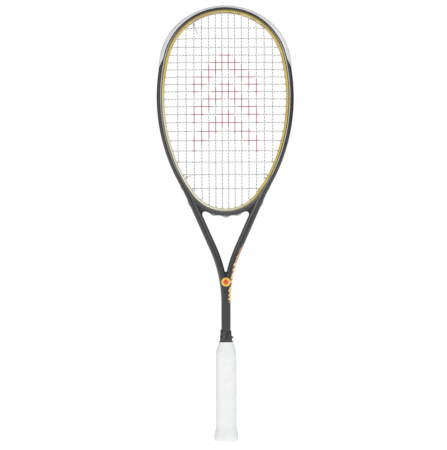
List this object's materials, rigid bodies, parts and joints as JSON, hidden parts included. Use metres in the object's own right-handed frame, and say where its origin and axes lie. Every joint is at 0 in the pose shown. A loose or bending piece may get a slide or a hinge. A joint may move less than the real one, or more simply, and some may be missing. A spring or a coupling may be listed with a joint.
{
  "type": "squash racket",
  "caption": "Squash racket with a teardrop head on two shafts, open throat with a bridge, woven string bed, bumper guard, wrapped grip and flared butt.",
  "frame": {"origin": "centre of the butt cap's flat end face", "axes": "+Z along the handle towards the head, +X across the string bed, -Y out of the front face of the string bed"},
  "size_m": [0.2152, 0.0336, 0.686],
  "materials": {
    "frame_paint": "clear-coated charcoal paint over carbon fibre, yellow on the inner edge",
    "clear_nylon": "translucent grey nylon",
    "badge_film": "thin printed film, plain concentric disc",
    "fleck_film": "thin printed film with slanted flecks",
    "string_nylon": "white multifilament nylon with a clear skin",
    "core_foam": "rigid polyurethane foam",
    "cap_plastic": "white moulded nylon",
    "staple_steel": "plated wire",
    "underlay_felt": "thin adhesive-backed cushion layer",
    "grip_polymer": "white cushioned polyurethane wrap",
    "black_tape": "glossy black vinyl tape"
  },
  "bodies": {
    "root": {"bridge_core": "core_foam", "bumper_guard": "clear_nylon", "butt_cap": "cap_plastic", "butt_plug": "cap_plastic", "butt_staples": "staple_steel", "corner_grommets_left": "clear_nylon", "corner_grommets_right": "clear_nylon", "cross_string": "string_nylon", "finishing_tape": "black_tape", "grip_underlay": "underlay_felt", "grip_wrap": "grip_polymer", "handle_pallet": "core_foam", "hoop_tube": "frame_paint", "knot_bottom": "string_nylon", "knot_top": "string_nylon", "main_string": "string_nylon", "neck_yoke": "frame_paint", "shaft_flecks_left": "fleck_film", "shaft_flecks_right": "fleck_film", "side_grommets_left": "clear_nylon", "side_grommets_right": "clear_nylon", "tail_bung": "core_foam", "throat_badge_back": "badge_film", "throat_badge_front": "badge_film", "throat_bridge": "frame_paint", "throat_grommets": "clear_nylon"}
  },
  "joints": []
}
